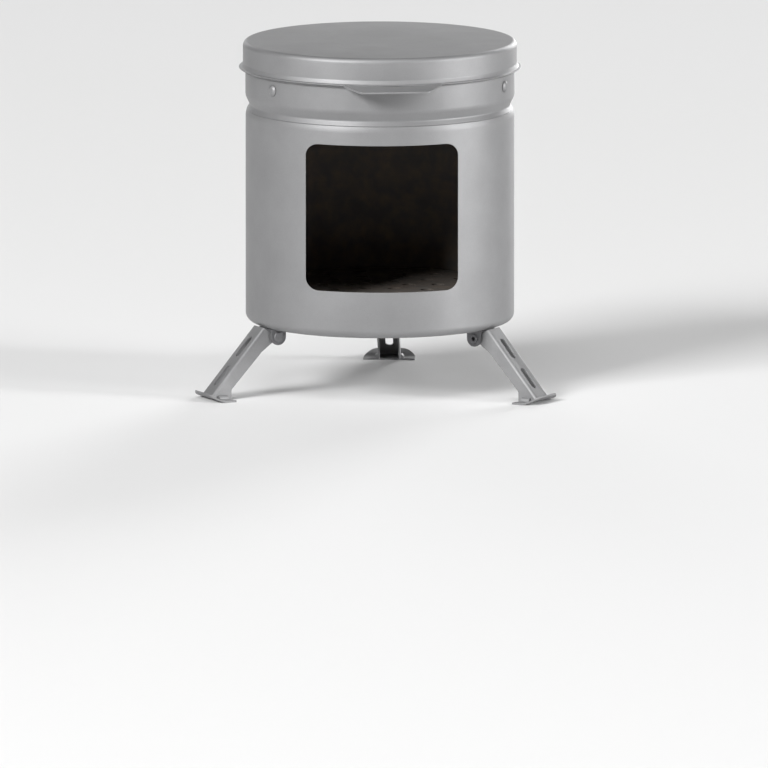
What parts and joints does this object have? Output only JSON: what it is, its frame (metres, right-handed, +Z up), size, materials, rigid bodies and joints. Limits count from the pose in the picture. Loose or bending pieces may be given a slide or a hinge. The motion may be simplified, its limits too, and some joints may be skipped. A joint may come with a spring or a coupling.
{
  "type": "wood stove",
  "caption": "Round titanium camping wood stove: cup body with a fuel window, lift-off collar and lid with a lift tab, folding slotted legs, folding pot supports, grate and ash tray",
  "frame": {"origin": "On the ground, under the axis of the stove's round body.", "axes": "+Z up, the fuel window faces -Y, +X to the right of someone who looks at the window."},
  "size_m": [0.1744, 0.1748, 0.1697],
  "materials": {
    "shell_titanium": "bead-blasted titanium, satin grey",
    "leg_titanium": "pressed titanium sheet, satin grey",
    "bracket_titanium": "pressed titanium sheet, darker satin grey",
    "rivet_metal": "turned titanium rivets and pins",
    "fired_metal": "titanium sheet blackened by the fire"
  },
  "bodies": {
    "stove_body": {"body_shell": "shell_titanium", "leg_bracket_left": "bracket_titanium", "leg_bracket_right": "bracket_titanium", "leg_bracket_rear": "bracket_titanium", "leg_pin_left": "rivet_metal", "leg_pin_right": "rivet_metal", "leg_pin_rear": "rivet_metal", "bracket_rivets": "rivet_metal"},
    "collar": {"top_collar": "shell_titanium", "support_bracket_left": "bracket_titanium", "support_bracket_right": "bracket_titanium", "support_bracket_rear": "bracket_titanium", "support_pin_left": "rivet_metal", "support_pin_right": "rivet_metal", "support_pin_rear": "rivet_metal", "support_rivets": "rivet_metal"},
    "lid": {"lid": "shell_titanium"},
    "ash_tray": {"ash_tray": "fired_metal"},
    "fire_grate": {"fire_grate": "fired_metal"},
    "leg_left": {"leg_left": "leg_titanium"},
    "leg_right": {"leg_right": "leg_titanium"},
    "leg_rear": {"leg_rear": "leg_titanium"},
    "pot_support_left": {"pot_support_left": "leg_titanium"},
    "pot_support_right": {"pot_support_right": "leg_titanium"},
    "pot_support_rear": {"pot_support_rear": "leg_titanium"}
  },
  "joints": [
    {"name": "collar_lift", "type": "slide", "parent": "stove_body", "child": "collar", "axis": [0, 0, 1], "range_m": [0, 0.1]},
    {"name": "lid_lift", "type": "slide", "parent": "collar", "child": "lid", "axis": [0, 0, 1], "range_m": [0, 0.08]},
    {"name": "tray_lift", "type": "slide", "parent": "stove_body", "child": "ash_tray", "axis": [0, 0, 1], "range_m": [0, 0.04]},
    {"name": "grate_lift", "type": "slide", "parent": "ash_tray", "child": "fire_grate", "axis": [0, 0, 1], "range_m": [0, 0.045]},
    {"name": "leg_left_fold", "type": "hinge", "parent": "stove_body", "child": "leg_left", "pos_m": [-0.05195, -0.02647, 0.0292], "axis": [0.454, -0.891, 0], "range_deg": [0, 131]},
    {"name": "leg_right_fold", "type": "hinge", "parent": "stove_body", "child": "leg_right", "pos_m": [0.04889, -0.03175, 0.0292], "axis": [0.5446, 0.8387, 0], "range_deg": [0, 131]},
    {"name": "leg_rear_fold", "type": "hinge", "parent": "stove_body", "child": "leg_rear", "pos_m": [0.00305, 0.05822, 0.0292], "axis": [-0.9986, 0.0523, 0], "range_deg": [0, 131]},
    {"name": "pot_support_left_fold", "type": "hinge", "parent": "collar", "child": "pot_support_left", "pos_m": [-0.04733, -0.03606, 0.14505], "axis": [-0.606, 0.7955, 0], "range_deg": [0, 90]},
    {"name": "pot_support_right_fold", "type": "hinge", "parent": "collar", "child": "pot_support_right", "pos_m": [0.05489, -0.02296, 0.14505], "axis": [-0.3859, -0.9225, 0], "range_deg": [0, 90]},
    {"name": "pot_support_rear_fold", "type": "hinge", "parent": "collar", "child": "pot_support_rear", "pos_m": [-0.00756, 0.05902, 0.14505], "axis": [0.9919, 0.1271, 0], "range_deg": [0, 90]}
  ]
}
